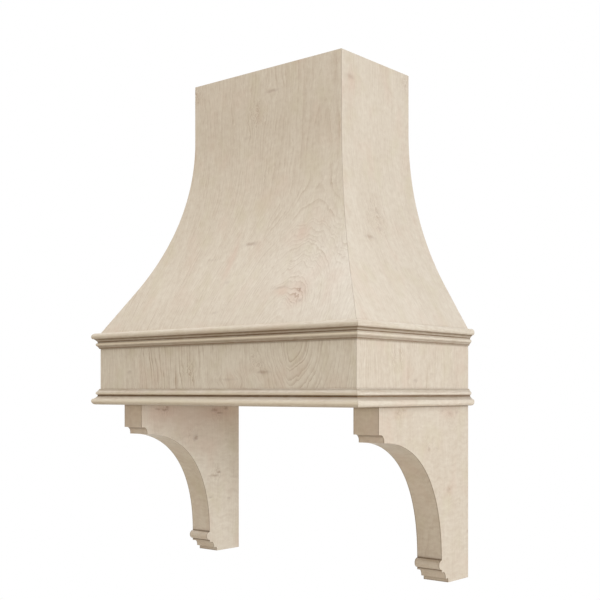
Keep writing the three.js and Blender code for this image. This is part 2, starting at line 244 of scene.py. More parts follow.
def is_seen_ray(recipe):
    """1 for what the camera sees, straight or in a reflection or through glass."""
    camera_ray = recipe.node("ShaderNodeLightPath", {}, {}, "Is Camera Ray")
    glossy_ray = recipe.node("ShaderNodeLightPath", {}, {}, "Is Glossy Ray")
    clear_ray = recipe.node("ShaderNodeLightPath", {}, {}, "Is Transmission Ray")
    return camera_ray.at_least(glossy_ray).at_least(clear_ray)


def make_surround():
    world = bpy.data.worlds.new("studio")
    bpy.context.scene.world = world
    recipe = Recipe(world)
    seen = is_seen_ray(recipe)
    strength = SURROUND_LIGHT + (1.0 - SURROUND_LIGHT) * seen
    colour = recipe.mix(seen, SURROUND_COLOUR, tint(255, 255, 255))
    surround = recipe.node("ShaderNodeBackground", {}, {"Color": colour, "Strength": strength})
    recipe.node("ShaderNodeOutputWorld", {}, {"Surface": surround})


def add_softbox(name, size, place, target, level, colour):
    """`level` is how bright a white card at the target, square to the lamp, would render."""
    lamp = bpy.data.lights.new(name, "AREA")
    lamp.shape = "SQUARE"
    lamp.size = size
    lamp.color = colour[:3]
    direction = Vector(target) - Vector(place)
    lamp.energy = level * math.pi ** 2 * direction.length_squared
    softbox = bpy.data.objects.new(name, lamp)
    softbox.location = place
    softbox.rotation_euler = direction.to_track_quat("-Z", "Y").to_euler()
    bpy.context.scene.collection.objects.link(softbox)
    print(name, round(lamp.energy), "W")


def make_floor():
    mesh = bmesh.new()
    bmesh.ops.create_circle(mesh, cap_ends=True, segments=96, radius=FLOOR_RADIUS)
    bmesh.ops.translate(mesh, verts=mesh.verts, vec=(0, 0, band_underside - HOOD_ABOVE_FLOOR))
    data = bpy.data.meshes.new("floor")
    mesh.to_mesh(data)
    mesh.free()
    floor = bpy.data.objects.new("floor", data)
    bpy.context.scene.collection.objects.link(floor)
    recipe = Recipe(bpy.data.materials.new("pale_floor"))
    x, y, z = recipe.place()
    cloud = recipe.noise(x / 900.0, y / 900.0, z, detail=3.0)
    near_white = recipe.mix(0.5 + cloud, tint(246, 246, 245), tint(250, 250, 249))
    colour = recipe.mix(is_seen_ray(recipe), tint(216, 208, 193), near_white)
    data.materials.append(recipe.surface(colour, 0.8, cloud * 0.1))


make_surround()
make_floor()
middle = (0, -0.3, -0.5)
add_softbox("high_softbox", 2.2, (-0.3, -1.0, 3.4), middle, 0.66, tint(231, 243, 255))
add_softbox("front_softbox", 1.3, (-2.0, -2.1, 3.2), middle, 0.22, tint(236, 246, 255))
add_softbox("right_softbox", 2.8, (6.2, -2.0, -0.8), middle, 0.83, tint(225, 239, 255))

# %% [markdown]
# ## Whitewashed maple
# Maple is pale and even. What shows is fine dark lines where each year's growth ends, faint streaks
# of fibre, small flecks, soft clouds of pink and straw, and a few pin knots that part the grain. The
# wash veils all of it, so every contrast is low.
#
# The lines come from the tree itself. A board is cut beside the heart of a log, and growth layers
# are cylinders round that heart, so the distance from the heart, divided by the width of a ring,
# counts the rings. Where the heart dives away from the face, the layers cut it in nested arches,
# which joiners call cathedrals. No tree is a true cylinder, so the grain is bent by noise at three
# sizes before the rings are counted, and no two rings are equally wide or dark.
#
# Some boards are curly: their fibres wave in and out of the face, which shows as soft level ripples.
# In others the rings show more boldly in patches, where the face lies flat to them.
#
# Over the wash comes a thin brown glaze that is wiped off again. It stays in the hollows, and the same
# brown is painted shade there too, so each finish lists the creases that it darkens, and the crests that
# get a painted highlight. The last coat is a satin lacquer, which is the shader's coat.
#
# Each board says how a point lies in it: across the grain, along the grain, and how deep under the
# face. The pattern follows from these three alone.

# %% Maple colours
RING_WIDTH = 8.0
MAPLE_PALE = tint(223, 211, 193)
MAPLE_DEEP = tint(179, 155, 130)
MAPLE_ROSE = tint(204, 174, 153)
MAPLE_STRAW = tint(199, 185, 155)
KNOT_BROWN = tint(126, 84, 60)
# Glaze brown, which is also the painted shade in the creases.
GLAZE_AND_SHADE_BROWN = tint(98, 68, 30)
# The pale of the painted highlights on the crests.
PAINTED_HIGHLIGHT_PALE = tint(248, 234, 210)
LACQUER = 0.5
BARE_SHEEN = 0.25
print("maple rings are", RING_WIDTH, "mm wide")

# %% [markdown]
# A knot, a swirl or a stain is a soft round mark on the board, and a crease is a soft line. Both are
# 1 in the middle and fade out as a bell curve does, so no mark has an edge.

# %% Marks on a board


def spot(across, along, centre, width, height):
    """1 at the centre and fading to 0 past `width` across the grain and `height` along it."""
    sideways = (across - centre[0]) / width
    lengthways = (along - centre[1]) / height
    return ((sideways * sideways + lengthways * lengthways) * -1.0).apply("EXPONENT")


def crease(point, centre, reach):
    """1 in a crease and fading to 0 past `reach`. It runs on without end where the centre is None."""
    gaps = [(here - there) / reach for here, there in zip(point, centre) if there is not None]
    return (sum(gap * gap for gap in gaps) * -1.0).apply("EXPONENT")


print("marks: spots and creases")

# %% [markdown]
# The recipe itself goes from the grain to the surface: bend the grain, count the rings, add fibres
# and clouds, then the glaze with painted shade and the painted highlights, and then the lacquer. What
# differs between boards is passed in.

# %% The whitewashed maple recipe


def whitewashed_maple(
    name,
    board,
    log_place,
    heart,
    figure=1.0,
    curl=0.1,
    tone=0.0,
    ring=RING_WIDTH,
    arches=(),
    bold=(),
    knots=(),
    swirls=(),
    stains=(),
    creases=(),
    crests=(),
    sawn_creases=(),
    thickness=None,
):
    """A maple finish.

    board: turns x, y, z into across, along and depth, in mm
    log_place: how far up the log the board was cut, so that no two boards are alike
    heart: the heart's place across the board, and its depth under the face
    figure: how strongly the grain shows
    curl: how strongly the level ripples show that curly maple has across its grain
    tone: how much darker the whole board is
    ring: the width of a growth ring
    arches: lowest end, highest end and how much deeper the heart lies at the highest
    bold: place, half width, half height and strength of each patch where the rings show most
    knots: place, half width, half height and darkness of each pin knot
    swirls: place, radius and darkness of each patch of curly grain
    stains: place, half width, half height and strength of each brown cloud
    creases: place (across, along, depth), reach and strength of each line of glaze and painted shade
    crests: the same, for lines that get a painted highlight
    sawn_creases: the same, for lines of glaze and painted shade that lie in the sawn edges only
    thickness: the board's, where it was sawn to shape; its sawn edges get a darker band along each arris
    """
    wood = Recipe(bpy.data.materials.new(name))
    across, along, depth = board(*wood.place())
    upward = along + log_place

    # Bend the grain: at three sizes everywhere, round each knot, and wildly in each swirl.
    slow = wood.noise(across / 120.0, upward / 300.0, depth / 120.0)
    quick = wood.noise(across / 34.0, upward / 80.0, depth / 34.0)
    ripple = wood.noise(across / 13.0, upward / 19.0, depth / 13.0)
    curly = wood.noise(across / 70.0, upward / 110.0, depth / 70.0 + 55.0).fade(-0.02, 0.2)
    parted = across + slow * 48.0 + quick * 12.0 + ripple * (curly * 9.0 + 1.5)
    for place, width, height, _ in knots:
        near = spot(across, along, place, 1.6 * width, 5.0 * height)
        parted = parted - (across - place[0]) * near * 0.6
    burl = 0.0
    for place, radius, darkness in swirls:
        near = spot(across, along, place, radius, radius)
        parted = parted + wood.noise(across / 15.0, along / 13.0, 3.0) * near * 42.0
        burl = burl + near * darkness

    # Count the rings out from the heart, and make each one's end a dark line.
    heart_depth = depth + heart[1]
    for lowest, highest, dive in arches:
        heart_depth = heart_depth + (along + quick * 45.0).fade(lowest, highest) * dive
    sideways = parted - heart[0]
    from_heart = (sideways * sideways + heart_depth * heart_depth).apply("SQRT")
    from_heart = from_heart + sideways.apply("ABSOLUTE") * 0.14
    uneven = wood.noise(from_heart / 26.0, upward / 900.0, log_place)
    ring_count = from_heart / ring + uneven * 4.0
    ring_end = ring_count.apply("FRACT") ** 2.5
    ring_number = ring_count.apply("FLOOR")
    boldness = wood.noise(ring_number * 0.71, upward / 110.0, log_place) * 1.7 + 0.38
    showing = wood.noise(across / 55.0, upward / 85.0, depth / 55.0 + 90.0) * 2.2 + 0.7
    for place, width, height, strength in bold:
        showing = showing + spot(across, along, place, width, height) * strength
    lines = ring_end * (boldness + burl).at_least(0.0) * (showing + burl * 2.0).at_least(0.2)

    # Fibres, streaks, flecks and ripples, from the finest to the broadest.
    fibre = wood.noise(parted / 1.6, upward / 15.0, depth / 1.6, detail=3.0)
    streak = wood.noise(parted / 4.2, upward / 28.0, depth / 4.2, detail=3.0)
    band = wood.noise(parted / 48.0, upward / 260.0, depth / 48.0)
    mottle = wood.noise(across / 17.0, upward / 15.0, depth / 17.0, detail=4.0, roughness=0.6)
    fleck = wood.noise(parted / 2.2, upward / 9.0, depth / 2.2).fade(0.14, 0.3)

    grain = lines * 0.8 + fibre * 0.5 + streak * 0.6 + fleck * 0.2
    flame = wood.noise(across / 45.0, (along + quick * 30.0) / 8.0, depth / 45.0, detail=1.0)
    shade = (grain * figure + band * 0.35 + mottle * 0.6 + flame * curl) * 0.82 + tone + 0.35
    colour = wood.mix(shade, MAPLE_PALE, MAPLE_DEEP)

    # Clouds, stains and knots colour the wood under the wash.
    rose = wood.noise(across / 80.0, upward / 130.0, depth / 80.0 + 7.0, detail=3.0).fade(0.0, 0.22)
    straw = wood.noise(across / 70.0, upward / 100.0, depth / 70.0 + 31.0, detail=3.0).fade(0.0, 0.22)
    colour = wood.mix(rose * 0.24, colour, MAPLE_ROSE)
    colour = wood.mix(straw * 0.34, colour, MAPLE_STRAW)
    for place, width, height, strength in stains:
        cloud = spot(across + quick * 40.0, along + mottle * 30.0, place, width, height)
        colour = wood.mix(cloud * strength, colour, MAPLE_ROSE)
    for place, width, height, darkness in knots:
        core = spot(across + mottle * 26.0, along + ripple * 9.0, place, width, height)
        colour = wood.mix(core * darkness, colour, KNOT_BROWN)
    colour = wood.mix(ring_end * burl * 0.4, colour, KNOT_BROWN)
    # Glaze brown darkens the creases, as glaze and as painted shade, and dulls the lacquer there.
    streaky_share = streak * 0.4 + 1.0
    dull = mottle * 0.2
    for place, reach, strength in creases:
        glaze_and_shade = crease((across, along, depth), place, reach)
        dull = dull.at_least(glaze_and_shade * strength)
        colour = wood.mix(glaze_and_shade * streaky_share * strength, colour, GLAZE_AND_SHADE_BROWN)
    # Painted highlights: the crests are made paler.
    for place, reach, strength in crests:
        painted_highlight = crease((across, along, depth), place, reach)
        colour = wood.mix(painted_highlight * strength, colour, PAINTED_HIGHLIGHT_PALE)
    if thickness:
        # On the sawn edges: a darker band along each arris, then the glaze and painted shade of the sawn
        # creases.
        inset = depth.at_most(thickness - depth)
        sawn = inset.fade(0.3, 2.0)
        arris = sawn * (1.0 - inset.fade(1.0, 4.0))
        colour = wood.mix(arris * streaky_share * 0.65, colour, GLAZE_AND_SHADE_BROWN)
        for place, reach, strength in sawn_creases:
            glaze_and_shade = crease((across, along, depth), place, reach)
            colour = wood.mix(glaze_and_shade * streaky_share * sawn * strength, colour, GLAZE_AND_SHADE_BROWN)

    # The surface: fibres stand up a little, and rings and flecks lie lower.
    roughness = 0.5 + mottle * 0.12 + lines * 0.1
    height = fibre * 0.035 - lines * 0.02 - fleck * 0.015
    return wood.surface(colour, roughness, height, lacquer=LACQUER - dull * LACQUER, sheen=BARE_SHEEN)


def flare_at(height):
    """How far the bell's face stands out past its top, as a wire, at a height in mm."""
    radius = BEND_RADIUS / MM
    drop = (bend_top / MM - height).at_least(0.0)
    bent = drop.at_most(bend_drop / MM)
    return radius - (radius * radius - bent * bent).apply("SQRT") + (drop - bent) * math.tan(FOOT_SLOPE)


print("the bend reaches", round(bend_reach / MM, 1), "mm out")

# %% [markdown]
# ## Outlines and sawing
# Most pieces of the hood are a profile run along a length. The profile starts as one vertex.
# `extrude_vert_indiv` draws a straight stretch from it, and `spin` swings it round a centre to draw
# an arc, which is scaled for an ellipse. The outline is filled and extruded, and the ends are sawn
# off with `bisect_plane`, as a joiner cuts a mitre. A sawn end is open, so it is filled again.


# %% Drawing and sawing helpers
class Outline:
    """A profile in the plane y = 0, with x out from the hood and z up."""

    def __init__(self, out, up):
        self.mesh = bmesh.new()
        self.start = self.mesh.verts.new((out, 0, up))
        self.tip = self.start

    def line(self, out, up):
        grown = bmesh.ops.extrude_vert_indiv(self.mesh, verts=[self.tip])
        self.tip = grown["verts"][0]
        self.tip.co = (out, 0, up)

    def arc(self, centre, degrees, steps, height_to_width=1.0):
        """Swings the tip round a centre, anticlockwise if `degrees` is positive."""
        middle = Vector((centre[0], 0, centre[1]))
        about_middle = Matrix.Translation(-middle)
        drawn = set(self.mesh.verts)
        round_up = (1, 1, 1 / height_to_width)
        bmesh.ops.scale(self.mesh, verts=[self.tip], vec=round_up, space=about_middle)
        first = self.tip
        swung = bmesh.ops.spin(
            self.mesh,
            geom=[self.tip],
            cent=middle,
            axis=(0, -1, 0),
            angle=math.radians(degrees),
            steps=steps,
        )
        self.tip = [item for item in swung["geom_last"] if isinstance(item, bmesh.types.BMVert)][0]
        arc = [vert for vert in self.mesh.verts if vert not in drawn] + [first]
        bmesh.ops.scale(self.mesh, verts=arc, vec=(1, 1, height_to_width), space=about_middle)

    def hollow(self, out, up, sag, steps):
        """Draws a shallow hollow to a point. `sag` is its depth off the straight line."""
        start = Vector((self.tip.co.x, self.tip.co.z))
        chord = Vector((out, up)) - start
        radius = (chord.length_squared / 4 + sag * sag) / (2 * sag)
        inward = Vector((-chord.y, chord.x)).normalized()
        centre = start + chord / 2 - inward * (radius - sag)
        self.arc(centre, -2 * math.degrees(math.asin(chord.length / 2 / radius)), steps)

    def run(self, length):
        """Closes the profile and extrudes it along y, by half the length each way."""
        mesh = self.mesh
        mesh.edges.new((self.tip, self.start))
        filled = bmesh.ops.edgeloop_fill(mesh, edges=mesh.edges)
        bmesh.ops.translate(mesh, verts=mesh.verts, vec=(0, -length / 2, 0))
        grown = bmesh.ops.extrude_face_region(mesh, geom=filled["faces"], use_keep_orig=True)
        moved = [item for item in grown["geom"] if isinstance(item, bmesh.types.BMVert)]
        bmesh.ops.translate(mesh, verts=moved, vec=(0, length, 0))
        bmesh.ops.recalc_face_normals(mesh, faces=mesh.faces)
        return mesh


def saw(mesh, point, waste_side):
    """Cuts off what lies on the waste side of a plane, and closes the cut."""
    everything = mesh.verts[:] + mesh.edges[:] + mesh.faces[:]
    cut = bmesh.ops.bisect_plane(
        mesh,
        geom=everything,
        dist=1e-7,
        plane_co=point,
        plane_no=waste_side,
        clear_outer=True,
    )
    rim = [item for item in cut["geom_cut"] if isinstance(item, bmesh.types.BMEdge)]
    bmesh.ops.edgeloop_fill(mesh, edges=rim)


def ease_edges(mesh, radius):
    """Rounds every sharp outer edge a little, as sanding does."""
    bmesh.ops.recalc_face_normals(mesh, faces=mesh.faces)
    sharp_angle = math.radians(28)
    sharp = [
        edge
        for edge in mesh.edges
        if edge.is_manifold and edge.is_convex and edge.calc_face_angle() > sharp_angle
    ]
    bmesh.ops.bevel(
        mesh,
        geom=sharp,
        affect="EDGES",
        offset=radius,
        segments=2,
        profile=0.5,
        material=-1,
        clamp_overlap=True,
    )


def finish_piece(name, mesh, node, finish):
    """Makes the Blender object that stands for a node of the construction."""
    data = bpy.data.meshes.new(name)
    mesh.to_mesh(data)
    mesh.free()
    data.shade_smooth()
    data.set_sharp_from_angle(angle=math.radians(40))
    data.materials.append(finish)
    piece = bpy.data.objects.new(name, data)
    bpy.context.scene.collection.objects.link(piece)
    evened = piece.modifiers.new("even_shading", "WEIGHTED_NORMAL")
    evened.keep_sharp = True
    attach(piece, "root")
    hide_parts(node)
    return piece


print("an outline can draw lines, arcs and ellipses")

# %% [markdown]
# ## The three sides
# Front, left and right are built alike, so a run is drawn once, with its profile facing +X. It is
# turned to face its side and sawn: with a mitre where it meets the next side, and square at the
# wall. Both mitre planes stand upright on the line from the top corner of the bell to the corner of
# the band, which is why the skins, aprons and mouldings all meet in one plane.

# %% Turning and mitring a run
mitre_gap = GLUE_LINE / math.sqrt(2)
WALL_CUT = ((0, 0, 0), (0, 1, 0))
SIDES = {
    "front": {
        "turn": -90,
        "corner": (0, -top_depth, 0),
        "cuts": [
            ((top_half_width - mitre_gap, -top_depth, 0), (1, 1, 0)),
            ((mitre_gap - top_half_width, -top_depth, 0), (-1, 1, 0)),
        ],
    },
    "right": {
        "turn": 0,
        "corner": (top_half_width, 0, 0),
        "cuts": [((top_half_width + mitre_gap, -top_depth, 0), (-1, -1, 0)), WALL_CUT],
    },
    "left": {
        "turn": 180,
        "corner": (-top_half_width, 0, 0),
        "cuts": [((-top_half_width - mitre_gap, -top_depth, 0), (1, -1, 0)), WALL_CUT],
    },
}
BLANK_LENGTH = 1.2


def run_on_side(outline, side):
    plan = SIDES[side]
    mesh = outline.run(BLANK_LENGTH)
    turned = Matrix.Rotation(math.radians(plan["turn"]), 4, "Z")
    bmesh.ops.transform(mesh, matrix=Matrix.Translation(plan["corner"]) @ turned, verts=mesh.verts)
    for point, waste_side in plan["cuts"]:
        saw(mesh, point, waste_side)
    return mesh


print("mitre gap", round(mitre_gap / MM, 3), "mm")

# %% [markdown]
# ## Bell skins
# Each skin is thin maple bent over ribs. Its profile is two concentric curves, a straight drop, a
# bend and a straight foot, a skin's thickness apart, so it is drawn down the outside and back up
# the inside. The bend's centre is outside the hood, so the inner curve has the larger radius.
#
# The skin is bent, but not twisted, so its grain stays in upright planes all the way down, and its
# depth is measured from the bent face.

# %% Make the bell skins
SKIN_THICKNESS = 9.5 * MM
BEND_STEPS = 48
EASED = 0.5 * MM


def skin_outline():
    outline = Outline(0, bell_top)
    outline.line(0, bend_top)
    centre = (BEND_RADIUS, bend_top)
    outline.arc(centre, math.degrees(FOOT_SLOPE), BEND_STEPS)
    outline.line(FLARE_REACH - (bell_base - band_top) * math.tan(FOOT_SLOPE), bell_base)
    foot_thickness = SKIN_THICKNESS / math.cos(FOOT_SLOPE)
    outline.line(outline.tip.co.x - foot_thickness, bell_base)
    inner_radius = BEND_RADIUS + SKIN_THICKNESS
    inner_out = BEND_RADIUS - inner_radius * math.cos(FOOT_SLOPE)
    inner_up = bend_top - inner_radius * math.sin(FOOT_SLOPE)
    outline.line(inner_out, inner_up)
    outline.arc(centre, -math.degrees(FOOT_SLOPE), BEND_STEPS)
    outline.line(-SKIN_THICKNESS, bell_top)
    return outline


def front_skin_board(x, y, z):
    return x, z, y + flare_at(z) + top_depth / MM


def side_skin_board(x, y, z):
    return y * -1.0, z, flare_at(z) + top_half_width / MM - x.apply("ABSOLUTE")


SKIN_FINISHES = {
    "front": whitewashed_maple(
        "front_skin_maple",
        front_skin_board,
        log_place=0.0,
        heart=(211, 12),
        arches=[(-640, -180, 230), (-250, 420, 12)],
        bold=[((222, -370), 90, 110, 0.6), ((-140, -500), 90, 50, 0.4)],
        knots=[
            ((30, 79), 20, 4.5, 0.36),
            ((12, -341), 20, 4.5, 0.4),
            ((-29, -445), 10, 5, 0.2),
            ((-119, -374), 22, 3.5, 0.14),
            ((-60, -35), 9, 4, 0.1),
            ((178, -472), 24, 3.5, 0.26),
            ((246, -481), 5, 6, 0.4),
            ((258, -511), 5, 5, 0.35),
            ((-21, -529), 8, 4, 0.16),
        ],
        swirls=[((243, -492), 24, 0.8), ((-262, 116), 26, 0.5), ((-25, 24), 36, 0.25)],
        stains=[
            ((-42, -375), 11, 60, 0.45),
            ((186, -482), 26, 12, 0.6),
            ((244, -495), 26, 30, 0.5),
            ((190, -326), 18, 20, 0.5),
        ],
    ),
    "right": whitewashed_maple(
        "right_skin_maple",
        side_skin_board,
        log_place=1700.0,
        heart=(-140, 30),
        figure=0.7,
        knots=[
            ((270, 80), 13, 6, 0.28),
            ((200, -266), 8, 5, 0.2),
            ((214, -312), 8, 5, 0.2),
            ((269, -341), 22, 4.5, 0.26),
            ((207, -418), 9, 4, 0.12),
        ],
        swirls=[((208, -285), 45, 0.3), ((20, 120), 24, 0.4)],
        stains=[((262, 66), 14, 30, 0.4)],
    ),
    "left": whitewashed_maple(
        "left_skin_maple",
        side_skin_board,
        log_place=3300.0,
        heart=(120, 60),
        arches=[(-520, -60, 120)],
        knots=[((90, -90), 9, 4, 0.4), ((210, -330), 12, 4, 0.35)],
    ),
}
for side, finish in SKIN_FINISHES.items():
    skin = run_on_side(skin_outline(), side)
    ease_edges(skin, EASED)
    piece = finish_piece(f"{side}_bell_skin", skin, f"{side}_skin", finish)
    print(piece.name, len(piece.data.polygons), "faces")

# %% [markdown]
# ## Aprons
# The flat boards of the band. They are plain rectangles in profile, with the grain upright like the
# bell's, and mitred at the front corners.

# %% Make the aprons
BOARD_THICKNESS = 19.05 * MM
MOULDING_HEIGHT = 44.45 * MM
BARE_EDGES = {"upper": band_top - MOULDING_HEIGHT, "lower": band_underside + MOULDING_HEIGHT}
# Darker lines along the bare edges where the mouldings meet the apron: glaze and painted shade, strongest
# under the upper moulding.
APRON_CREASES = [
    ((None, BARE_EDGES["upper"] / MM, None), 3.0, 0.5),
    ((None, BARE_EDGES["lower"] / MM, None), 2.0, 0.15),
]


def apron_outline():
    outline = Outline(FLARE_REACH, band_top)
    outline.line(FLARE_REACH, band_underside)
    outline.line(FLARE_REACH - BOARD_THICKNESS, band_underside)
    outline.line(FLARE_REACH - BOARD_THICKNESS, band_top)
    return outline


def front_board(x, y, z):
    return x, z, y + band_front / MM


def side_board(x, y, z):
    return y * -1.0, z, half_width / MM - x.apply("ABSOLUTE")


APRON_FINISHES = {
    "front": whitewashed_maple(
        "front_apron_maple",
        front_board,
        log_place=5200.0,
        heart=(272, 90),
        figure=1.2,
        # The front apron is painted lighter: painted light that makes up for the shade of the upper
        # moulding over it.
        tone=-0.25,
        ring=11,
        arches=[(-760, -590, -85)],
        bold=[((-190, -680), 110, 90, 1.6), ((290, -665), 80, 70, 1.4)],
        knots=[((-331, -680), 7, 5, 0.25), ((168, -686), 20, 4, 0.4), ((48, -703), 30, 3, 0.16)],
        swirls=[((-91, -683), 24, 0.2), ((150, -660), 30, 0.2)],
        creases=APRON_CREASES,
    ),
    "right": whitewashed_maple(
        "right_apron_maple",
        side_board,
        log_place=6900.0,
        tone=0.1,
        heart=(330, 26),
        knots=[((253, -706), 9, 4, 0.3), ((180, -690), 7, 3, 0.15)],
        swirls=[((330, -655), 30, 0.2)],
        creases=APRON_CREASES,
    ),
    "left": whitewashed_maple(
        "left_apron_maple",
        side_board,
        log_place=8300.0,
        heart=(-60, 40),
        knots=[((140, -670), 9, 4, 0.3)],
        creases=APRON_CREASES,
    ),
}
for side, finish in APRON_FINISHES.items():
    apron = run_on_side(apron_outline(), side)
    ease_edges(apron, EASED)
    piece = finish_piece(f"{side}_band_apron", apron, f"{side}_apron", finish)
    print(piece.name, len(piece.data.polygons), "faces")

# %% [markdown]
# ## Mouldings
# One stock goes round the band twice. From the bare apron it has a small step and a hollow, a bead, a
# fillet, a cove and a round nose. It is drawn with z = 0 at the bare apron: the upper moulding uses
# it as it is, and the lower one upside down. A cutter leaves its shape crisp, so the edges are
# hardly eased.
#
# The stock is ripped along the grain, so its grain runs along the moulding. Glaze and painted shade
# darken the step, the corner behind the bead and the wood under the nose, more so where that corner
# hangs over. The crests of the bead and the nose get a painted highlight. The right side faces a lamp,
# which makes its crests bright already, so its painted highlights are a quarter as strong.

# %% Make the mouldings
MOULDING_DEPTH = 19.05 * MM
QUIRK_DEPTH = 2.5 * MM
HOLLOW_SAG = 0.6 * MM
BEAD_MIDDLE = 12 * MM
BEAD_HALF_HEIGHT = 4.4 * MM
BEAD_LIP = 3.9 * MM
BEAD_START = math.radians(-50)
FILLET_DEPTH = 6 * MM
FILLET_TOP = 20 * MM
COVE_DEPTH = 14.3 * MM
COVE_TOP = 28 * MM
COVE_SAG = 0.5 * MM
NOSE_RADIUS = 10 * MM
CRISP = 0.2 * MM
ARC_STEPS = 14


def moulding_outline():
    bead_foot_depth = FILLET_DEPTH + BEAD_LIP * math.cos(BEAD_START)
    bead_foot = BEAD_MIDDLE + BEAD_HALF_HEIGHT * math.sin(BEAD_START)
    bead_turn = 90 - math.degrees(BEAD_START)
    nose_depth = MOULDING_DEPTH - NOSE_RADIUS
    nose_middle = MOULDING_HEIGHT - NOSE_RADIUS
    nose_start = math.asin((COVE_TOP - nose_middle) / NOSE_RADIUS)

    outline = Outline(GLUE_LINE, 0)
    outline.line(QUIRK_DEPTH, 0)
    outline.hollow(bead_foot_depth, bead_foot, HOLLOW_SAG, ARC_STEPS)
    outline.arc((FILLET_DEPTH, BEAD_MIDDLE), bead_turn, 2 * ARC_STEPS, BEAD_HALF_HEIGHT / BEAD_LIP)
    outline.line(FILLET_DEPTH, FILLET_TOP)
    outline.hollow(COVE_DEPTH, COVE_TOP, COVE_SAG, ARC_STEPS)
    outline.line(nose_depth + NOSE_RADIUS * math.cos(nose_start), COVE_TOP)
    outline.arc((nose_depth, nose_middle), 90 - math.degrees(nose_start), 2 * ARC_STEPS)
    outline.line(GLUE_LINE, MOULDING_HEIGHT)
    return outline


# Glaze and painted shade in the profile's hollows and under the nose: (out, rise) in mm, reach and
# strength.
MOULDING_CREASES = {
    "upper": [
        ((2.5, 2.5), 2.6, 0.9),
        ((6.0, 7.5), 3.2, 0.5),
        ((6.0, 20.0), 2.2, 0.9),
        ((12.5, 26.0), 5.0, 0.8),
    ],
    "lower": [
        ((2.5, 3.5), 2.2, 0.7),
        ((6.0, 18.5), 3.2, 0.95),
        ((9.5, 22.0), 4.0, 0.35),
        ((9.0, 44.4), 6.0, 0.5),
    ],
}
# Painted highlights on the crests of the bead and the nose: (out, rise) in mm, reach and strength.
MOULDING_CRESTS = {
    "upper": [((9.4, 13.8), 2.6, 1.0), ((19.0, 36.0), 4.0, 0.15)],
    "lower": [((9.8, 13.8), 2.4, 0.55), ((19.0, 34.0), 4.5, 0.55)],
}


# How strong the painted highlights are on each side; the lamp on the right already lights its crests.
PAINTED_HIGHLIGHT_SHARE = {"front": 1.0, "right": 0.25, "left": 1.0}


def moulding_lines(lines, level, bare_edge, share=1.0):
    """Places on the profile, turned into places in a board whose across is z and depth is inwards."""
    up = 1 if level == "upper" else -1
    edge = bare_edge / MM
    return [
        ((edge + up * rise, None, -out), reach, strength * share)
        for (out, rise), reach, strength in lines
    ]


def place_moulding(outline, level, bare_edge):
    """Turns the profile over for the lower run, and moves it to the band's face."""
    verts = outline.mesh.verts
    if level == "lower":
        bmesh.ops.scale(outline.mesh, verts=verts, vec=(1, 1, -1))
    bmesh.ops.translate(outline.mesh, verts=verts, vec=(FLARE_REACH, 0, bare_edge))
    return outline


def front_moulding_board(x, y, z):
    return z, x, y + band_front / MM


def side_moulding_board(x, y, z):
    return z, y, half_width / MM - x.apply("ABSOLUTE")


for level, bare_edge in BARE_EDGES.items():
    for number, side in enumerate(SIDES):
        run = run_on_side(place_moulding(moulding_outline(), level, bare_edge), side)
        ease_edges(run, CRISP)
        stock = front_moulding_board if side == "front" else side_moulding_board
        finish = whitewashed_maple(
            f"{side}_{level}_moulding_maple",
            stock,
            log_place=11000.0 + 1300.0 * number + bare_edge,
            heart=(bare_edge / MM - 60, 45),
            creases=moulding_lines(MOULDING_CREASES[level], level, bare_edge),
            crests=moulding_lines(MOULDING_CRESTS[level], level, bare_edge, PAINTED_HIGHLIGHT_SHARE[side]),
        )
        node = f"{side}_{level}_moulding"
        piece = finish_piece(f"{side}_{level}_run", run, node, finish)
        print(piece.name, len(piece.data.polygons), "faces")

# %% [markdown]
# ## Corbels
# Each corbel is one thick block, bandsawn to a profile: a square head, a small cove and lip, the
# long arch, and a slim leg whose foot is moulded with a nose, a fillet, a cove and a plinth. The
# arch is a Bezier curve, because it is fuller than a quarter of an ellipse. The profile is drawn
# with x out from the wall, run to the corbel's width and turned to face the front.
#
# Its sides are curly, with clusters of small knots. Painted shade darkens the wood just under the band;
# glaze and painted shade darken the head's cove and the moulded foot, and the sawn front is darker at both
# arrises.

# %% Make the corbels
corbel_low, corbel_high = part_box("right_corbel")
corbel_width = corbel_high.x - corbel_low.x
corbel_depth = -corbel_low.y
corbel_foot = corbel_low.z
HEAD_HEIGHT = 66.5 * MM
HEAD_FILLET = 6.4 * MM
HEAD_COVE = 15 * MM
HEAD_LIP = 5 * MM
LEG_DEPTH = 130 * MM
ARCH_TOP_TENSION = 0.575
ARCH_LEG_TENSION = 0.655
ARCH_STEPS = 64
FOOT_NOSE_RADIUS = 12.5 * MM
FOOT_FILLET = 6.5 * MM
FOOT_STEP = 8 * MM
FOOT_COVE_RUN = 11.3 * MM
FOOT_COVE_RISE = 18.5 * MM
PLINTH_STEP = 11.2 * MM
PLINTH_HEIGHT = 11.2 * MM
CORBEL_EASED = 0.8 * MM

head_bottom = band_underside - HEAD_HEIGHT
lip = corbel_depth - HEAD_FILLET - HEAD_COVE
arch_top = head_bottom - HEAD_COVE - HEAD_LIP
plinth_top = corbel_foot + PLINTH_HEIGHT
fillet_bottom = plinth_top + FOOT_COVE_RISE
nose_bottom = fillet_bottom + FOOT_FILLET
arch_foot = nose_bottom + 2 * FOOT_NOSE_RADIUS
cove_front = LEG_DEPTH - FOOT_STEP
plinth_front = cove_front - FOOT_COVE_RUN - PLINTH_STEP


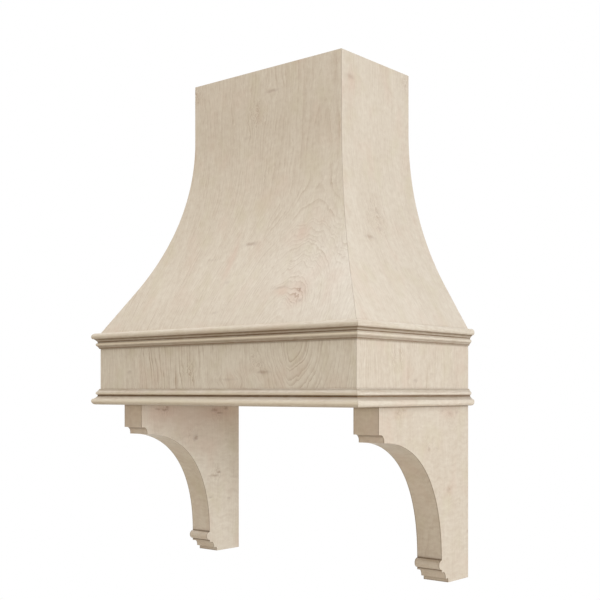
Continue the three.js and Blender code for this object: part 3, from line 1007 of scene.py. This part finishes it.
def corbel_outline():
    outline = Outline(0, corbel_high.z)
    outline.line(corbel_depth, corbel_high.z)
    outline.line(corbel_depth, head_bottom)
    outline.line(corbel_depth - HEAD_FILLET, head_bottom)
    outline.arc((corbel_depth - HEAD_FILLET, head_bottom - HEAD_COVE), 90, ARC_STEPS)
    outline.line(lip, arch_top)
    top_pull = (lip - LEG_DEPTH) * ARCH_TOP_TENSION
    leg_pull = (arch_top - arch_foot) * ARCH_LEG_TENSION
    arch = interpolate_bezier(
        Vector((lip, arch_top)),
        Vector((lip - top_pull, arch_top)),
        Vector((LEG_DEPTH, arch_foot + leg_pull)),
        Vector((LEG_DEPTH, arch_foot)),
        ARCH_STEPS + 1,
    )
    for point in arch[1:]:
        outline.line(point.x, point.y)
    outline.arc((LEG_DEPTH, arch_foot - FOOT_NOSE_RADIUS), -180, 2 * ARC_STEPS)
    outline.line(LEG_DEPTH, fillet_bottom)
    outline.line(cove_front, fillet_bottom)
    outline.arc((cove_front, plinth_top), 90, ARC_STEPS, FOOT_COVE_RISE / FOOT_COVE_RUN)
    outline.line(plinth_front, plinth_top)
    outline.line(plinth_front, corbel_foot)
    outline.line(0, corbel_foot)
    return outline


def corbel_crease(out, up, reach, strength):
    return ((out / MM, up / MM, None), reach, strength)


# Painted shade on every face of the corbel, just under the band.
CORBEL_CREASES = [
    ((None, band_underside / MM, None), 3.0, 0.55),
    ((None, band_underside / MM, None), 10.0, 0.25),
]
# Glaze and painted shade in the corners of the head's cove and of the moulded foot, on the sawn edges
# only.
SAWN_CREASES = [
    corbel_crease(lip + HEAD_COVE * 0.5, head_bottom - 4 * MM, 5.0, 0.6),
    corbel_crease(LEG_DEPTH, arch_foot, 3.2, 0.85),
    corbel_crease(LEG_DEPTH, nose_bottom, 3.6, 0.85),
    corbel_crease(cove_front - 2 * MM, fillet_bottom, 5.0, 0.6),
    corbel_crease(plinth_front + 4 * MM, plinth_top, 4.0, 0.75),
    corbel_crease(plinth_front, corbel_foot, 3.0, 0.6),
]
CORBEL_FINISHES = {
    "right": whitewashed_maple(
        "right_corbel_maple",
        side_board,
        log_place=15200.0,
        heart=(-190, 130),
        figure=0.4,
        curl=0.45,
        # The right corbel is painted a little darker: painted shade, since its lamp lights it more than
        # the left one.
        tone=0.12,
        knots=[
            ((332, -786), 10, 4, 0.24),
            ((302, -781), 9, 4, 0.2),
            ((130, -785), 7, 4, 0.22),
            ((91, -791), 10, 4, 0.24),
            ((57, -787), 6, 4, 0.25),
            ((191, -879), 5, 7, 0.24),
            ((154, -880), 5, 5, 0.15),
            ((99, -989), 8, 5, 0.22),
            ((6, -1104), 4, 4, 0.3),
        ],
        swirls=[
            ((318, -785), 24, 0.35),
            ((90, -788), 34, 0.35),
            ((203, -868), 20, 0.25),
            ((96, -990), 16, 0.3),
        ],
        stains=[
            ((318, -788), 36, 14, 0.25),
            ((92, -790), 45, 14, 0.3),
            ((96, -990), 22, 16, 0.25),
        ],
        creases=CORBEL_CREASES,
        sawn_creases=SAWN_CREASES,
        thickness=corbel_width / MM,
    ),
    "left": whitewashed_maple(
        "left_corbel_maple",
        side_board,
        log_place=16900.0,
        heart=(-150, 160),
        figure=0.4,
        curl=0.5,
        # The left corbel is painted a little lighter: painted light, since its lamp lights it less than
        # the right one.
        tone=-0.04,
        knots=[
            ((319, -787), 12, 4, 0.5),
            ((344, -785), 8, 3, 0.45),
            ((305, -781), 5, 4, 0.45),
            ((108, -791), 15, 5, 0.5),
            ((59, -787), 9, 4, 0.5),
            ((86, -801), 13, 3, 0.45),
            ((192, -875), 6, 9, 0.5),
            ((90, -984), 8, 4, 0.45),
            ((112, -994), 20, 3, 0.35),
            ((125, -1060), 7, 3, 0.26),
            ((45, -1069), 7, 3, 0.28),
        ],
        swirls=[
            ((318, -787), 26, 0.55),
            ((88, -792), 36, 0.55),
            ((205, -866), 22, 0.4),
            ((100, -986), 20, 0.4),
        ],
        stains=[
            ((315, -792), 50, 22, 0.6),
            ((86, -795), 60, 22, 0.7),
            ((200, -800), 260, 60, 0.45),
            ((150, -900), 60, 30, 0.3),
        ],
        creases=CORBEL_CREASES,
        sawn_creases=SAWN_CREASES,
        thickness=corbel_width / MM,
    ),
}
for side, finish in CORBEL_FINISHES.items():
    block = corbel_outline().run(corbel_width)
    middle_x = (corbel_low.x + corbel_high.x) / 2
    if side == "left":
        middle_x = -middle_x
    turned = Matrix.Rotation(math.radians(-90), 4, "Z")
    bmesh.ops.transform(block, matrix=Matrix.Translation((middle_x, 0, 0)) @ turned, verts=block.verts)
    ease_edges(block, CORBEL_EASED)
    piece = finish_piece(f"{side}_arched_corbel", block, f"{side}_corbel", finish)
    print(piece.name, len(piece.data.polygons), "faces")

# %% [markdown]
# ## Poplar rails
# The hidden rails and blocks are poplar, a plain pale wood with a green or straw cast, which is
# left bare. They keep their solids, so they only need the finish. Rails differ in which way their
# grain runs, and ring lines in depth give each end its end grain.

# %% Poplar, by direction of the grain
POPLAR_PALE = tint(224, 213, 184)
POPLAR_DEEP = tint(190, 171, 132)
POPLAR_GREEN = tint(184, 178, 140)
POPLAR_RING = 5.0


def poplar(name, board, log_place):
    wood = Recipe(bpy.data.materials.new(name))
    across, along, depth = board(*wood.place())
    upward = along + log_place
    bent = across + wood.noise(across / 60.0, upward / 300.0, depth / 60.0) * 30.0
    heart_depth = depth + wood.noise(across / 60.0, upward / 420.0, depth / 60.0 + 9.0) * 40.0
    ring_count = (bent * bent + heart_depth * heart_depth).apply("SQRT") / POPLAR_RING
    lines = ring_count.apply("FRACT") ** 2.5
    fibre = wood.noise(bent / 0.8, upward / 30.0, depth / 0.8, detail=3.0)
    band = wood.noise(bent / 26.0, upward / 500.0, depth / 26.0)
    shade = lines * 0.4 + fibre * 0.7 + band * 0.8 + 0.15
    colour = wood.mix(shade, POPLAR_PALE, POPLAR_DEEP)
    colour = wood.mix(band.fade(0.05, 0.25) * 0.5, colour, POPLAR_GREEN)
    return wood.surface(colour, 0.72 + fibre * 0.15, fibre * 0.06 - lines * 0.02)


def along_x(x, y, z):
    return y + 330.0, x, z + 820.0


def along_y(x, y, z):
    return x.apply("ABSOLUTE") - 160.0, y, z + 820.0


def along_z(x, y, z):
    return x.apply("ABSOLUTE") - 350.0, z, y + 120.0


RAILS = {
    "long_rail_poplar": (along_x, ("_front_rail", "_back_rail", "hanging_rail", "cleat", "fixing_rail")),
    "short_rail_poplar": (along_y, ("_left_rail", "_right_rail")),
    "corner_block_poplar": (along_z, ("_corner_block",)),
}
for number, (name, (board, endings)) in enumerate(RAILS.items()):
    finish = poplar(name, board, 900.0 * number)
    rails = [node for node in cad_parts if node.endswith(endings)]
    for rail in rails:
        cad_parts[rail].active_material = finish
    print(name, "on", len(rails), "pieces")

# %% [markdown]
# ## Plywood ribs
# The ribs and stiles are cut from birch plywood. Plywood's plies show as bands on every cut edge,
# because each ply's grain crosses the next one's. The finish counts plies through the thickness, so
# an edge gets its bands and a face, which lies in one ply, gets plain birch. Each rib says which way
# its thickness runs.

# %% Plywood, by direction of the thickness
PLY_THICKNESS = 19.05 / 13
BIRCH_PALE = tint(226, 206, 168)
BIRCH_DEEP = tint(190, 158, 112)
PLY_GLUE = tint(126, 92, 60)


def plywood(name, through):
    wood = Recipe(bpy.data.materials.new(name))
    x, y, z = wood.place()
    flat, thick = through(x, y)
    plies = thick / PLY_THICKNESS
    crossing = (plies * 0.5).apply("FRACT").fade(0.49, 0.51)
    near_glue = (plies.apply("FRACT") - 0.5).apply("ABSOLUTE").fade(0.4, 0.5)
    upright = wood.noise(flat / 1.5, z / 60.0, thick / 1.5, detail=3.0)
    level = wood.noise(flat / 60.0, z / 1.5, thick / 1.5, detail=3.0)
    figure = wood.noise(flat / 40.0, z / 260.0, plies.apply("FLOOR"))
    fibre = upright + (level - upright) * crossing
    shade = fibre * 0.9 + figure * 0.5 + crossing * 0.38 + 0.2
    colour = wood.mix(shade, BIRCH_PALE, BIRCH_DEEP)
    colour = wood.mix(near_glue * 0.55, colour, PLY_GLUE)
    return wood.surface(colour, 0.74 + fibre * 0.1, fibre * 0.05 - near_glue * 0.05)


DIAGONAL = math.sqrt(0.5)
RIB_THICKNESS = 19.05
front_rib_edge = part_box("right_front_rib")[0].x / MM
side_rib_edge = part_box("right_side_rib")[0].y / MM
hip_offset = (top_half_width - top_depth) / MM * DIAGONAL - RIB_THICKNESS / 2
RIB_FINISHES = {
    "front_rib": lambda x, y: (y, x.apply("ABSOLUTE") - front_rib_edge),
    "side_rib": lambda x, y: (x.apply("ABSOLUTE"), y - side_rib_edge),
    "hip_rib": lambda x, y: (
        (x.apply("ABSOLUTE") - y) * DIAGONAL,
        (x.apply("ABSOLUTE") + y) * DIAGONAL - hip_offset,
    ),
    "back_stile": lambda x, y: (x.apply("ABSOLUTE"), y * -1.0),
}
for kind, through in RIB_FINISHES.items():
    finish = plywood(f"{kind}_plywood", through)
    for side in ("left", "right"):
        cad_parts[f"{side}_{kind}"].active_material = finish
    print(kind, "has", round(RIB_THICKNESS / PLY_THICKNESS), "plies")

# %% [markdown]
# ## Zinc screws
# Four screws go down through the ledge into the corbels. Bright zinc is a grey mirror with a faint
# blue and straw cast, scuffed by the driver.

# %% Finish the screws


def zinc():
    metal = Recipe(bpy.data.materials.new("bright_zinc"))
    x, y, z = metal.place()
    cast = metal.noise(x / 4.0, y / 4.0, z / 4.0)
    scuff = metal.noise(x / 0.6, y / 0.6, z / 2.0, detail=4.0)
    colour = metal.mix(cast * 1.5 + 0.5, tint(196, 201, 208), tint(206, 202, 188))
    return metal.surface(colour, 0.32 + scuff * 0.3, scuff * 0.02, metallic=1.0)


screw_finish = zinc()
screws = [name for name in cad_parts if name.endswith("_screw")]
for name in screws:
    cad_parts[name].active_material = screw_finish
print("screws:", len(screws))
